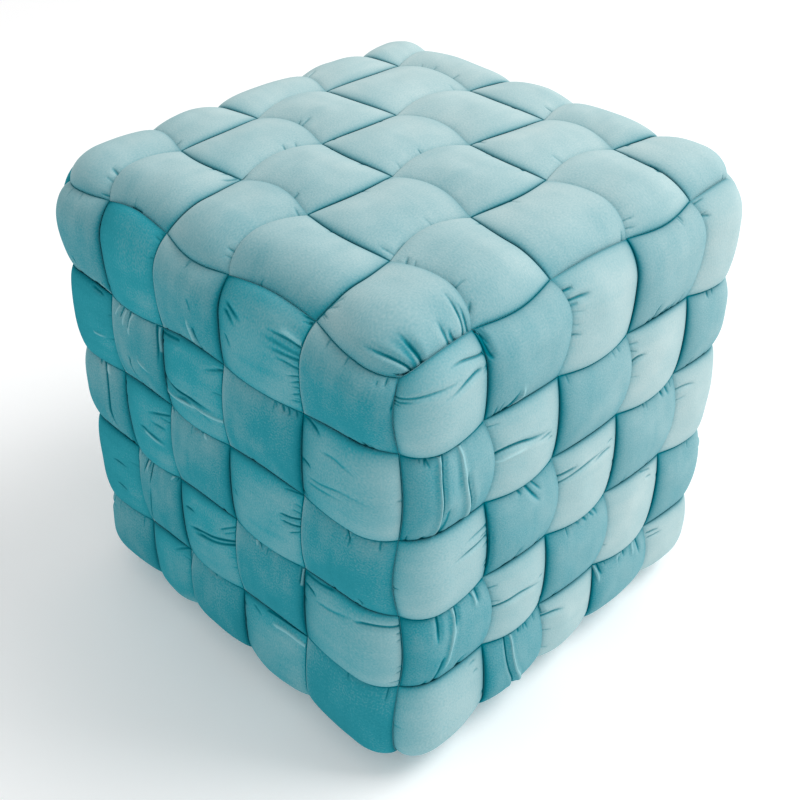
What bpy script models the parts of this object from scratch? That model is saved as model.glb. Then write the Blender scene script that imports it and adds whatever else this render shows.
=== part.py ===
"""A cube pouf stool whose top and sides are a plain weave of fifteen padded velvet straps.

Frame: +Z up, the origin on the floor under the middle of the pouf, the front facing -Y.
Five long straps run from the front foot over the top to the back foot, five cross straps run
from the left foot over the top to the right foot, and five ring straps close round the four
sides. A filled body fits inside the weave and stands on its flat base.

Every strap is a loft through sections that follow its way over and under the others. A place on
the pouf is given in cells: x, y and z from 0 to 5 on the surface of a cube whose faces are five
straps wide. The height of a point is its distance outside the middle surface of the weave.
"""
import bmesh
import bpy
from math import copysign, cos, hypot, pi, sin
from mathutils import Vector

MM = 0.001

# ---------------------------------------------------------------- driving dimensions
STRAPS = 5                    # straps each way on every face
WIDTH = 414 * MM              # between the middle surfaces of the left and right faces
DEPTH = 414 * MM              # between the middle surfaces of the front and back faces
HEIGHT = 426 * MM             # from the middle surface underneath to the one of the top
UNDERSIDE = 6 * MM            # the middle surface underneath, above the floor
EDGE_RADIUS = 42 * MM         # of the pouf's rounded edges, at the middle surface
SIDE_DOME = 4 * MM            # how far the middle of each side stands out
TOP_DOME = 12 * MM            # how far the middle of the top stands up

CROWN = 11 * MM               # a strap's top where it passes over another
SINK = 10 * MM                # its underside where it passes beneath
RISE = 3.4 * MM               # half its thickness where it changes from over to under
BULGE = 0.09                  # how far a strap's side swells over its neighbour, in cells
# Straps with straighter sides: face and kind, then the swell of the low and of the high side
STRAIGHTER = {
    ("front", "long"): (0.0, 0.09),
    ("front", "ring"): (0.05, 0.03),
    ("left", "cross"): (0.02, 0.0),
    ("left", "ring"): (0.0, 0.08),
}
# The strap beside the upright front left edge gives way to the rings that go round it
CORNER_SWELL = {("front", "long"): -0.05, ("left", "cross"): -0.07}
# The strap side, 0 low and 1 high, that the low side of a face's first strap meets at an edge
BEYOND_EDGE = {
    ("front", "long"): ("left", "cross", 0),
    ("left", "cross"): ("front", "long", 0),
    ("top", "long"): ("left", "ring", 1),
    ("top", "cross"): ("front", "ring", 1),
}
# How far the weave slides down over two top edges, at each line between straps, in mm
SLIDES = {"left": (15, 4, 8, 2, 2, 0), "front": (15, 6, 1, 4, 2, 0)}
SLIDE_REACH = 90 * MM         # how far from the edge that slide is felt
SIDE_GAP = 0.028              # from a strap's side to the line between two straps, in cells
LAYER_GAP = 1.5 * MM          # between a strap and the one it crosses, to either side
BODY_GAP = 3.0 * MM           # between the straps and the body
KNEE = 0.33                   # where a section bends between its middle and its side, in cells

# Where the edge between two neighbouring straps lies, in mm, as uneven as in the real weave.
# Long straps, from the left face:
#    front foot, front top edge, back top edge, back foot
LONG_EDGES = (
    (98, 78, 87, 87),
    (166, 162, 170, 167),
    (240, 250, 251, 247),
    (318, 335, 348, 330),
)
# Cross straps, from the front face:
#    left foot, left top edge, right top edge, right foot
CROSS_EDGES = (
    (108, 89, 90, 87),
    (188, 181, 162, 167),
    (265, 258, 253, 247),
    (321, 334, 351, 332),
)
# Ring straps, down from the top:
#    left front corner, left back corner, right back corner, right front corner
RING_EDGES = (
    (84, 94, 94, 95),
    (163, 169, 170, 170),
    (240, 250, 252, 258),
    (319, 340, 340, 346),
)

# The end of a long or cross strap, turned under the pouf, in mm:
#    distance in from the foot, outer height, side height, inner height
TURNED_END = (
    (22, 5, 0, -7),
    (43, 6, 0, -7),
    (60, 6, 2, -3),
)
MITRE_GAP = 1.5 * MM          # between two ends that meet in a corner of the underside
# Lines of the filled body's grid, in mm in from each face; the flat base fills the third
BODY_LINES = (0, 20, 62)

# How a kind of strap goes round: the axis it is wide along, then the two axes of its loop
LOOPS = {"long": (0, 1, 2), "cross": (1, 0, 2), "ring": (2, 1, 0)}
# The faces that it passes, and 1 where it runs the way that the straps it crosses are numbered
FACES = {
    "long": (("front", 1), ("top", 1), ("back", -1)),
    "cross": (("left", 1), ("top", 1), ("right", -1)),
    "ring": (("front", 1), ("right", 1), ("back", -1), ("left", -1)),
}

# Velvet looks lighter or darker by the way its nap runs: colour, roughness
FINISHES = {
    "long": ((0.20, 0.47, 0.51, 1.0), 0.75),
    "cross": ((0.17, 0.42, 0.47, 1.0), 0.75),
    "ring": ((0.25, 0.53, 0.56, 1.0), 0.75),
    "body": ((0.05, 0.07, 0.08, 1.0), 0.9),
}


# ---------------------------------------------------------------- places on the pouf
def clamped(value, lowest, highest):
    return max(lowest, min(highest, value))


def edge_place(edges, full, cell, first, second):
    """Metres to a place `cell` straps along; first and second, 0 to 1, lie between the columns."""
    index = int(clamped(cell, 0, STRAPS - 1))
    rows = ((0,) * 4,) + edges + ((full / MM,) * 4,)
    share = cell - index
    near, top, far, foot = [
        (1 - share) * low + share * high for low, high in zip(rows[index], rows[index + 1])
    ]
    at_start = (1 - second) * near + second * top
    at_end = (1 - second) * foot + second * far
    return ((1 - first) * at_start + first * at_end) * MM


def slide(face, across, along, down):
    """How far the weave has slid down over a top edge at a place near that edge."""
    index = int(clamped(along, 0, STRAPS - 1))
    low, high = SLIDES[face][index:index + 2]
    away = hypot(across, down) / SLIDE_REACH
    return (low + (high - low) * (along - index)) * MM * max(0, 1 - away ** 2) ** 2


def box_point(cell):
    """The point of a sharp-edged box for a place in cells."""
    x, y, z = (part / STRAPS for part in cell)
    down = edge_place(RING_EDGES, HEIGHT, STRAPS - cell[2], x, y)
    from_left = slide("left", x * WIDTH, y * STRAPS, down)
    from_front = slide("front", y * DEPTH, x * STRAPS, down)
    return Vector((
        edge_place(LONG_EDGES, WIDTH, cell[0], y, z) - WIDTH / 2,
        edge_place(CROSS_EDGES, DEPTH, cell[1], x, z) - DEPTH / 2,
        UNDERSIDE + HEIGHT - down - max(from_left, from_front),
    ))


def rounded(flat, height):
    """Round the box's edges, step `height` outwards and swell the faces a little."""
    half = Vector((WIDTH, DEPTH, HEIGHT)) / 2
    middle = Vector((0, 0, UNDERSIDE + HEIGHT / 2))
    inner = Vector([
        clamped(part, EDGE_RADIUS - reach, reach - EDGE_RADIUS)
        for part, reach in zip(flat - middle, half)
    ])
    outward = (flat - middle - inner).normalized()
    point = inner + outward * (EDGE_RADIUS + height)
    share = [clamped(part / reach, -1, 1) for part, reach in zip(point, half)]
    flank = [1 - part * part for part in share]
    point.x += SIDE_DOME * share[0] * flank[1] * flank[2]
    point.y += SIDE_DOME * share[1] * flank[0] * flank[2]
    point.z += TOP_DOME * max(share[2], 0) * flank[0] * flank[1]
    return point + middle


def loop_cell(kind, across, along):
    """A place `along` cells round a strap's loop; what spills past a cube edge turns round it."""
    wide, first, second = LOOPS[kind]
    leg, step = divmod(along, STRAPS)
    inside = clamped(across, 0, STRAPS)
    depth = abs(across - inside)
    cell = [0, 0, 0]
    cell[wide] = inside
    cell[first], cell[second] = (
        (depth, step),
        (step, STRAPS - depth),
        (STRAPS - depth, STRAPS - step),
        (STRAPS - step, depth),
    )[int(leg) % 4]
    return cell


# ---------------------------------------------------------------- the shape of one strap
def bow(place):
    """1 in the middle of a cell and 0 at its edge."""
    return 1 - (2 * place) ** 2


def side_swell(place):
    return max(0, 1 - abs(2 * place) ** 2.3) ** 0.5


def end_swell(place):
    return max(0, 1 - abs(2 * place) ** 2.4) ** 0.8


def outer_height(over, across, along):
    """The outer surface of a strap over or under another; both places run from -0.5 to 0.5."""
    if not over:
        return RISE * (bow(across) - bow(along)) - LAYER_GAP * bow(along)
    rim = bow(across) + bow(along) - bow(across) * bow(along)
    return RISE * rim + (CROWN - RISE) * side_swell(across) * end_swell(along)


def inner_height(over, across, along):
    """The inner surface of a strap over or under another."""
    if over:
        return RISE * (bow(along) - bow(across)) + LAYER_GAP * bow(along)
    rim = bow(across) + bow(along) - bow(across) * bow(along)
    return -RISE * rim - (SINK - RISE) * side_swell(across) * end_swell(along)


def side_height(over, along):
    """The line where the outer and the inner surface of a strap meet."""
    height = (RISE + LAYER_GAP) * bow(along)
    return height if over else -height


def section_places(index):
    """Places across a strap's section, outer surface first; those by a cube edge need more."""
    outer = (-0.5, -KNEE, 0, KNEE, 0.5)
    inner = (KNEE, 0, -KNEE) if index in (1, STRAPS) else (0,)
    return outer, inner


def passes_over(kind, index, cell):
    """The plain weave: each strap goes over and under by turns, the next one the other way."""
    return (index + cell) % 2 == (0 if kind == "long" else 1)


def strap_middle(kind, index):
    """Cells from the cube's edge to the middle of a strap; rings count down from the top."""
    return STRAPS - index + 0.5 if kind == "ring" else index - 0.5


def crossing(kind, face):
    """The kind of strap that crosses another on a face."""
    upright = {"front": "long", "back": "long", "left": "cross", "right": "cross"}.get(face)
    pair = (upright, "ring") if upright else ("long", "cross")
    return pair[1] if pair[0] == kind else pair[0]


def side_swells(face, kind, index):
    """How far the low and the high side of a strap swell on a face, in cells."""
    low, high = STRAIGHTER.get((face, kind), (BULGE, BULGE))
    if index == 1:
        low = CORNER_SWELL.get((face, kind), low)
    return low, high


def facing_swell(face, kind, index, side):
    """How far the strap beyond a strap's low (0) or high (1) side swells towards it."""
    beside = index + (1 - 2 * side if kind == "ring" else 2 * side - 1)
    if 1 <= beside <= STRAPS:
        return side_swells(face, kind, beside)[1 - side]
    if index == 1 and (face, kind) in BEYOND_EDGE and side == 0:
        face, kind, side = BEYOND_EDGE[face, kind]
        return side_swells(face, kind, 1)[side]
    return BULGE


def end_bulge(kind, index, cell, end):
    """How far the side of the strap that crosses before (-1) or after (1) a cell swells."""
    over = passes_over(kind, index, cell)
    crossed = cell + end if over else cell
    face, way = FACES[kind][(crossed // STRAPS) % len(FACES[kind])]
    number = crossed % STRAPS + 1 if way > 0 else STRAPS - crossed % STRAPS
    sides = side_swells(face, crossing(kind, face), number)
    high_side = (way * end > 0) != over
    return sides[1] if high_side else sides[0]


def woven_point(kind, index, cell, across, along, height):
    """A point of a strap; the lines between cells bow to the side of the strap beneath."""
    over = passes_over(kind, index, cell)
    turn = 1 if over else -1
    face, _ = FACES[kind][(cell // STRAPS) % len(FACES[kind])]
    side = int(across >= 0)
    own = side_swells(face, kind, index)[side]
    swell = own if over else -facing_swell(face, kind, index, side)
    dip = end_bulge(kind, index, cell, 1 if along >= 0 else -1)
    wider = across + swell * sin(pi * across) * cos(pi * along)
    shorter = along - turn * dip * sin(pi * along) * cos(pi * across)
    place = loop_cell(kind, strap_middle(kind, index) + wider, cell + 0.5 + shorter)
    return rounded(box_point(place), height)


def woven_section(kind, index, cell, along):
    """One section of a strap, as a ring of points."""
    over = passes_over(kind, index, cell)
    outer, inner = section_places(index)
    points = []
    for across in outer:
        at_side = abs(across) == 0.5
        height = side_height(over, along) if at_side else outer_height(over, across, along)
        inset = across * (1 - 2 * SIDE_GAP) if at_side else across
        points.append(woven_point(kind, index, cell, inset, along, height))
    for across in inner:
        height = inner_height(over, across, along)
        points.append(woven_point(kind, index, cell, across, along, height))
    return points


def turned_section(kind, index, at_start, row):
    """One section of a strap's end that is turned under the pouf and lies on the floor."""
    wide, first, _ = LOOPS[kind]
    distance, outer_rise, side_rise, inner_rise = (value * MM for value in row)
    outer, inner = section_places(index)
    foot = 0 if at_start else 3 * STRAPS
    half = (WIDTH, DEPTH)[wide] / 2
    places = [(across, outer_rise) for across in outer] + [(across, inner_rise) for across in inner]
    points = []
    for across, height in places:
        if abs(across) == 0.5:
            across = across * (1 - 2 * SIDE_GAP)
            height = side_rise
        cell = loop_cell(kind, strap_middle(kind, index) + across, foot)
        flat = box_point(cell)
        flat[first] += distance if at_start else -distance
        if index in (1, STRAPS):
            flat[wide] = mitred(flat[wide], distance, kind, index, foot, half)
        point = rounded(flat, height)
        point.z = max(point.z, 0)
        points.append(point)
    return points


def mitred(place, distance, kind, index, foot, half):
    """Draw in the outer side of a corner strap's end, so that two ends meet at 45 degrees."""
    wide = LOOPS[kind][0]
    side = -1 if index == 1 else 1
    inside_edge = 1 if index == 1 else STRAPS - 1
    width = half - side * box_point(loop_cell(kind, inside_edge, foot))[wide]
    from_side = half - side * place
    narrow = width - (width - from_side) * (width - distance - MITRE_GAP) / width
    return side * (half - narrow)


def section_stops(kind, index, cell):
    """Places along one cell where a strap has a section."""
    beside_cube_edge = cell % STRAPS in (0, STRAPS - 1)
    if beside_cube_edge or passes_over(kind, index, cell):
        return -0.5, -KNEE, 0, KNEE
    return -0.5, 0


# ---------------------------------------------------------------- making the objects
def finish(mesh_data, name, kind, collection):
    """Give a mesh its object, its own material and its place in the collection."""
    colour, roughness = FINISHES[kind]
    material = bpy.data.materials.new(name + "_finish")
    material.use_nodes = True
    shader = material.node_tree.nodes["Principled BSDF"]
    shader.inputs["Base Color"].default_value = colour
    shader.inputs["Roughness"].default_value = roughness
    shader.inputs["Metallic"].default_value = 0.0
    material.diffuse_color = colour
    mesh_data.materials.append(material)
    mesh_data.shade_smooth()
    piece = bpy.data.objects.new(name, mesh_data)
    collection.objects.link(piece)
    return piece


def lofted(sections, closed):
    """A mesh through rings of points; an open loft gets a cap at either end."""
    shape = bmesh.new()
    rings = [[shape.verts.new(point) for point in section] for section in sections]
    pairs = list(zip(rings, rings[1:]))
    if closed:
        pairs.append((rings[-1], rings[0]))
    for ring, after in pairs:
        for corner in range(len(ring)):
            beside = (corner + 1) % len(ring)
            shape.faces.new((ring[corner], ring[beside], after[beside], after[corner]))
    if not closed:
        shape.faces.new(rings[0])
        shape.faces.new(rings[-1])
    bmesh.ops.recalc_face_normals(shape, faces=shape.faces)
    return shape


def strap(kind, index, collection):
    """One strap: a ring strap closes on itself, the others end under the pouf."""
    legs = 4 if kind == "ring" else 3
    sections = [
        woven_section(kind, index, cell, along)
        for cell in range(legs * STRAPS)
        for along in section_stops(kind, index, cell)
    ]
    if kind != "ring":
        sections.append(woven_section(kind, index, legs * STRAPS - 1, 0.5))
        start = [turned_section(kind, index, True, row) for row in reversed(TURNED_END)]
        end = [turned_section(kind, index, False, row) for row in TURNED_END]
        sections = start + sections + end
    shape = lofted(sections, kind == "ring")
    name = f"{kind}_strap_{index}"
    mesh_data = bpy.data.meshes.new(name)
    shape.to_mesh(mesh_data)
    shape.free()
    return finish(mesh_data, name, kind, collection)


def filled_body(collection):
    """The filled block inside the weave, with a flat base that stands on the floor."""
    lines = len(BODY_LINES)
    reach = Vector((WIDTH, DEPTH, HEIGHT)) / 2
    middle = Vector((0, 0, UNDERSIDE + HEIGHT / 2))
    shape = bmesh.new()
    bmesh.ops.create_cube(shape, size=2 * lines)
    bmesh.ops.subdivide_edges(shape, edges=shape.edges, cuts=2 * lines - 1, use_grid_fill=True)
    base = [
        face for face in shape.faces
        if face.normal.z < -0.5 and max(map(abs, face.calc_center_median().xy)) < lines - 2
    ]
    for vertex in shape.verts:
        flat = middle.copy()
        for axis, part in enumerate(vertex.co):
            if round(part):
                inset = BODY_LINES[lines - round(abs(part))] * MM
                flat[axis] += copysign(reach[axis] - inset, part)
        vertex.co = rounded(flat, -SINK - BODY_GAP)
    pulled = bmesh.ops.extrude_face_region(shape, geom=base)
    for part in pulled["geom"]:
        if isinstance(part, bmesh.types.BMVert):
            part.co.z = 0
    bmesh.ops.delete(shape, geom=base, context="FACES_ONLY")
    bmesh.ops.recalc_face_normals(shape, faces=shape.faces)
    mesh_data = bpy.data.meshes.new("filled_body")
    shape.to_mesh(mesh_data)
    shape.free()
    return finish(mesh_data, "filled_body", "body", collection)


def main():
    for thing in list(bpy.data.objects):
        bpy.data.objects.remove(thing, do_unlink=True)
    collection = bpy.data.collections.new("woven_cube_pouf")
    bpy.context.scene.collection.children.link(collection)
    filled_body(collection)
    for kind in LOOPS:
        for index in range(1, STRAPS + 1):
            strap(kind, index, collection)


main()
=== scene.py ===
# %% [markdown]
# # A cube pouf woven from velvet straps
#
# The real pouf is a filled block with fifteen soft velvet straps woven round it. Five run from
# the front foot over the top to the back foot, five run from the left foot over the top to the
# right foot, and five closed rings go round the four sides. Every strap passes over one
# neighbour and under the next, so each face shows a five by five plain weave of small pillows.
#
# We start by loading the measured model. Its solids stay in the scene as a frame that tells us
# where everything is, and each soft piece that we make stands in for one of them.

# %% Load the measured frame
import math

import bmesh
import bpy
import numpy as np
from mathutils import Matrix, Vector


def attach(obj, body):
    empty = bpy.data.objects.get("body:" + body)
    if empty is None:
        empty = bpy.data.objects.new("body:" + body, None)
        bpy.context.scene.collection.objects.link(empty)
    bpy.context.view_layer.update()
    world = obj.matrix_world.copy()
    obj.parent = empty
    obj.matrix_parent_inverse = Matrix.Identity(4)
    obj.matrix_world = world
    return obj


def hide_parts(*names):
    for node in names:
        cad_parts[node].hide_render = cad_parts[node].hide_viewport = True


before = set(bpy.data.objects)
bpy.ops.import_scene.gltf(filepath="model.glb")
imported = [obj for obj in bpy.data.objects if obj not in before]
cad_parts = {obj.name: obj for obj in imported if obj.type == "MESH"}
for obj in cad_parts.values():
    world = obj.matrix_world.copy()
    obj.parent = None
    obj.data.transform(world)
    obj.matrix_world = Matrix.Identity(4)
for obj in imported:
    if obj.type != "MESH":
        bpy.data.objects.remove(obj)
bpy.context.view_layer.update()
MM = 0.001

# %% [markdown]
# The sizes of the weave come first, each with a name, so that a change in one place changes the
# whole pouf. The tables say where the edges between neighbouring straps lie at the corners of
# the cube. They are uneven, as in hand-woven work: a pouf with equal cells looks like a toy.

# %% Sizes of the weave
STRAPS = 5                    # straps each way on every face
WIDTH = 414 * MM              # between the middle surfaces of the left and right faces
DEPTH = 414 * MM              # between the middle surfaces of the front and back faces
HEIGHT = 426 * MM             # from the middle surface underneath to the one of the top
UNDERSIDE = 6 * MM            # the middle surface underneath, above the floor
EDGE_RADIUS = 42 * MM         # of the pouf's rounded edges, at the middle surface
SIDE_DOME = 4 * MM            # how far the middle of each side stands out
TOP_DOME = 12 * MM            # how far the middle of the top stands up

CROWN = 11 * MM               # a strap's top where it passes over another
SINK = 10 * MM                # its underside where it passes beneath
RISE = 3.4 * MM               # half its thickness where it changes from over to under
BULGE = 0.09                  # how far a strap's side swells over its neighbour, in cells
# Straps with straighter sides: face and kind, then the swell of the low and of the high side
STRAIGHTER = {
    ("front", "long"): (0.0, 0.09),
    ("front", "ring"): (0.05, 0.03),
    ("left", "cross"): (0.02, 0.0),
    ("left", "ring"): (0.0, 0.08),
}
# The strap beside the upright front left edge gives way to the rings that go round it
CORNER_SWELL = {("front", "long"): -0.05, ("left", "cross"): -0.07}
# The strap side, 0 low and 1 high, that the low side of a face's first strap meets at an edge
BEYOND_EDGE = {
    ("front", "long"): ("left", "cross", 0),
    ("left", "cross"): ("front", "long", 0),
    ("top", "long"): ("left", "ring", 1),
    ("top", "cross"): ("front", "ring", 1),
}
# How far the weave slides down over two top edges, at each line between straps, in mm
SLIDES = {"left": (15, 4, 8, 2, 2, 0), "front": (15, 6, 1, 4, 2, 0)}
SLIDE_REACH = 90 * MM         # how far from the edge that slide is felt
SIDE_GAP = 0.002              # from a strap's side to the line between two straps, in cells
LAYER_GAP = 0.4 * MM          # between a strap and the one it crosses
BODY_GAP = 3.0 * MM           # between the straps and the body

# Long straps, from the left face: front foot, front top edge, back top edge, back foot
LONG_EDGES = (
    (98, 78, 87, 87),
    (166, 162, 170, 167),
    (240, 250, 251, 247),
    (318, 335, 348, 330),
)
# Cross straps, from the front face: left foot, left top edge, right top edge, right foot
CROSS_EDGES = (
    (108, 89, 90, 87),
    (188, 181, 162, 167),
    (265, 258, 253, 247),
    (321, 334, 351, 332),
)
# Ring straps, down from the top: left front, left back, right back and right front corner
RING_EDGES = (
    (84, 94, 94, 95),
    (163, 169, 170, 170),
    (240, 250, 252, 258),
    (319, 340, 340, 346),
)
# How a kind of strap goes round: the axis it is wide along, then the two axes of its loop
LOOPS = {"long": (0, 1, 2), "cross": (1, 0, 2), "ring": (2, 1, 0)}
# The faces that it passes, and 1 where it runs the way that the straps it crosses are numbered
FACES = {
    "long": (("front", 1), ("top", 1), ("back", -1)),
    "cross": (("left", 1), ("top", 1), ("right", -1)),
    "ring": (("front", 1), ("right", 1), ("back", -1), ("left", -1)),
}
print("strap pitch, mm:", round(WIDTH / STRAPS / MM, 1))

# %% [markdown]
# ## Where a point of a strap lies
#
# A place on the pouf is given in cells: x, y and z from 0 to 5 on the surface of a cube whose
# faces are five straps wide. These helpers turn such a place into metres. They first find the
# point of a sharp-edged box, then round the box's edges and swell its faces a little, and they
# step outwards by the strap's height. They work on whole arrays of points at once, because the
# finished straps have several hundred thousand of them.

# %% From cells to metres
def edge_place(edges, full, cell, first, second):
    """Metres to a place `cell` straps along; first and second, 0 to 1, lie between the columns."""
    rows = np.array([(0,) * 4, *edges, (full / MM,) * 4], dtype=float)
    index = np.clip(np.floor(cell), 0, STRAPS - 1).astype(int)
    share = (cell - index)[..., None]
    near, top, far, foot = np.moveaxis((1 - share) * rows[index] + share * rows[index + 1], -1, 0)
    at_start = (1 - second) * near + second * top
    at_end = (1 - second) * foot + second * far
    return ((1 - first) * at_start + first * at_end) * MM


def box_point(cell):
    """The points of a sharp-edged box for places in cells."""
    x, y, z = np.moveaxis(cell, -1, 0) / STRAPS
    flat = np.stack((
        edge_place(LONG_EDGES, WIDTH, cell[..., 0], y, z) - WIDTH / 2,
        edge_place(CROSS_EDGES, DEPTH, cell[..., 1], x, z) - DEPTH / 2,
        UNDERSIDE + HEIGHT - edge_place(RING_EDGES, HEIGHT, STRAPS - cell[..., 2], x, y),
    ), axis=-1)
    down = UNDERSIDE + HEIGHT - flat[..., 2]
    slides = []
    for face, across, along in (("left", x * WIDTH, y), ("front", y * DEPTH, x)):
        slide = np.interp(along * STRAPS, range(STRAPS + 1), SLIDES[face]) * MM
        away = np.hypot(across, down) / SLIDE_REACH
        slides.append(slide * np.maximum(0, 1 - away ** 2) ** 2)
    flat[..., 2] -= np.maximum(*slides)
    return flat


def rounded(flat, height):
    """Round the box's edges, step `height` outwards and swell the faces a little."""
    half = np.array((WIDTH, DEPTH, HEIGHT)) / 2
    middle = np.array((0, 0, UNDERSIDE + HEIGHT / 2))
    inner = np.clip(flat - middle, EDGE_RADIUS - half, half - EDGE_RADIUS)
    outward = flat - middle - inner
    outward /= np.linalg.norm(outward, axis=-1, keepdims=True)
    point = inner + outward * (EDGE_RADIUS + height[..., None])
    share = np.clip(point / half, -1, 1)
    flank = 1 - share ** 2
    point[..., 0] += SIDE_DOME * share[..., 0] * flank[..., 1] * flank[..., 2]
    point[..., 1] += SIDE_DOME * share[..., 1] * flank[..., 0] * flank[..., 2]
    point[..., 2] += TOP_DOME * np.maximum(share[..., 2], 0) * flank[..., 0] * flank[..., 1]
    return point + middle


def loop_cell(kind, across, along):
    """Places `along` cells round a strap's loop; what spills past a cube edge turns round it."""
    wide, first, second = LOOPS[kind]
    across, along = np.broadcast_arrays(across, along)
    leg = np.floor(along / STRAPS).astype(int) % 4
    step = along % STRAPS
    inside = np.clip(across, 0, STRAPS)
    depth = np.abs(across - inside)
    cell = np.zeros(across.shape + (3,))
    cell[..., wide] = inside
    cell[..., first] = np.choose(leg, (depth, step, STRAPS - depth, STRAPS - step))
    cell[..., second] = np.choose(leg, (step, STRAPS - depth, STRAPS - step, depth))
    return cell


corner = rounded(box_point(np.array([[5.0, 0.0, 5.0]])), np.array([0.0]))[0]
print("middle surface at the front right top corner, mm:", (corner / MM).round(1))

# %% [markdown]
# ## The padded section of a strap
#
# Seen along its length, a filled strap is a flat sausage: it swells quickly behind its sides and
# is nearly level over its middle. Where it passes over a neighbour it stands up by its crown,
# where it dives below one it is pressed flat, and in between both straps are half as thick. The
# two surfaces that touch follow the same curve, so the straps lie on each other with no hole.

# %% Heights across and along one cell
SIDE_FLAT, SIDE_STEEP = 2.3, 0.5   # how level a strap is across its middle, and how steep its sides
END_FLAT, END_STEEP = 2.4, 0.8     # the same along a cell, towards its two ends


def bow(place):
    """1 in the middle of a cell and 0 at its edge."""
    return 1 - (2 * place) ** 2


def side_swell(place):
    """The swell across a strap: 1 over its middle and 0 at its sides."""
    return np.maximum(0, 1 - np.abs(2 * place) ** SIDE_FLAT) ** SIDE_STEEP


def end_swell(place):
    """The swell along a cell: 1 over its middle and 0 where the strap dives."""
    return np.maximum(0, 1 - np.abs(2 * place) ** END_FLAT) ** END_STEEP


def outer_height(over, across, along):
    """The outer surface of a strap over or under another; places run from -0.5 to 0.5."""
    rim = bow(across) + bow(along) - bow(across) * bow(along)
    above = RISE * rim + (CROWN - RISE) * side_swell(across) * end_swell(along)
    below = RISE * (bow(across) - bow(along)) - LAYER_GAP * bow(along)
    return np.where(over, above, below)


def inner_height(over, across, along):
    """The inner surface of a strap over or under another."""
    rim = bow(across) + bow(along) - bow(across) * bow(along)
    above = RISE * (bow(along) - bow(across)) + LAYER_GAP * bow(along)
    below = -RISE * rim - (SINK - RISE) * side_swell(across) * end_swell(along)
    return np.where(over, above, below)


def passes_over(kind, index, cell):
    """The plain weave: each strap goes over and under by turns, the next one the other way."""
    return (index + cell) % 2 == (0 if kind == "long" else 1)


def strap_middle(kind, index):
    """Cells from the cube's edge to the middle of a strap; rings count down from the top."""
    return STRAPS - index + 0.5 if kind == "ring" else index - 0.5


def crossing(kind, face):
    """The kind of strap that crosses another on a face."""
    sides = "ring" if face != "top" else None
    upright = {"front": "long", "back": "long", "left": "cross", "right": "cross"}.get(face)
    pair = (upright, sides) if upright else ("long", "cross")
    return pair[1] if pair[0] == kind else pair[0]


def side_swells(face, kind, index):
    """How far the low and the high side of a strap swell on a face, in cells."""
    low, high = STRAIGHTER.get((face, kind), (BULGE, BULGE))
    if index == 1:
        low = CORNER_SWELL.get((face, kind), low)
    return low, high


def facing_swell(face, kind, index, side):
    """How far the strap beyond a strap's low (0) or high (1) side swells towards it."""
    beside = index + (1 - 2 * side if kind == "ring" else 2 * side - 1)
    if 1 <= beside <= STRAPS:
        return side_swells(face, kind, beside)[1 - side]
    if index == 1 and (face, kind) in BEYOND_EDGE and side == 0:
        face, kind, side = BEYOND_EDGE[face, kind]
        return side_swells(face, kind, 1)[side]
    return BULGE


def end_bulge(kind, index, cell, end):
    """How far the side of the strap that crosses before (-1) or after (1) a cell swells."""
    over = passes_over(kind, index, cell)
    crossed = cell + end if over else cell
    face, way = FACES[kind][(crossed // STRAPS) % len(FACES[kind])]
    number = crossed % STRAPS + 1 if way > 0 else STRAPS - crossed % STRAPS
    sides = side_swells(face, crossing(kind, face), number)
    high_side = (way * end > 0) != over
    return sides[1] if high_side else sides[0]


def woven_point(kind, index, cell, across, along, height):
    """Points of a strap; the lines between cells bow to the side of the strap beneath."""
    over = passes_over(kind, index, cell)
    turn = 1 if over else -1
    face, _ = FACES[kind][(cell // STRAPS) % len(FACES[kind])]
    low, high = side_swells(face, kind, index)
    if not over:
        low, high = (-facing_swell(face, kind, index, side) for side in (0, 1))
    swell = np.where(across < 0, low, high)
    dip = np.where(along < 0, end_bulge(kind, index, cell, -1), end_bulge(kind, index, cell, 1))
    wider = across + swell * np.sin(math.pi * across) * np.cos(math.pi * along)
    shorter = along - turn * dip * np.sin(math.pi * along) * np.cos(math.pi * across)
    place = loop_cell(kind, strap_middle(kind, index) + wider, cell + 0.5 + shorter)
    return rounded(box_point(place), height)


print("crown over the pits, mm:", CROWN / MM)

# %% [markdown]
# ## The grid of a strap
#
# Each strap is one closed skin: a fine outer sheet that carries the look, and a coarse inner
# sheet that never shows. The rows and columns crowd towards the edges of a cell, where the cloth
# turns down steeply, and a cell that lies under another gets only a few rows.

# %% Places of the rows and columns
OUTER_COLUMNS = 60            # across the outer sheet
INNER_COLUMNS = 8             # across the inner sheet
OVER_ROWS = 44                # along a cell that shows
UNDER_ROWS = 10               # along a cell that is hidden
CROWDING = 0.30               # 0 for even places, 1 for places crowded at the edges
UNDER_CROWDING = 0.8          # the same for the rows of a hidden cell
INNER_CROWDING = 0.6          # and for the columns of the inner sheet


def places(count, crowding):
    """Places from -0.5 to 0.5 that crowd towards both ends."""
    even = np.linspace(-1, 1, count + 1)
    return 0.5 * ((1 - crowding) * even + crowding * np.sin(math.pi / 2 * even))


def cell_rows(kind, index, cell):
    """Places of the rows along one cell, without the last, which starts the next cell."""
    if passes_over(kind, index, cell):
        return places(OVER_ROWS, CROWDING)[:-1]
    return places(UNDER_ROWS, UNDER_CROWDING)[:-1]


across_outer = places(OUTER_COLUMNS, CROWDING)
across_inner = places(INNER_COLUMNS, INNER_CROWDING)[-2:0:-1]
columns_round = len(across_outer) + len(across_inner)
print("columns round a strap:", columns_round)

# %% [markdown]
# The two ends of a long or a cross strap turn under the pouf and lie flat on the floor. In the
# corners of the underside two ends meet, so their sides are drawn in at 45 degrees.

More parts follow.
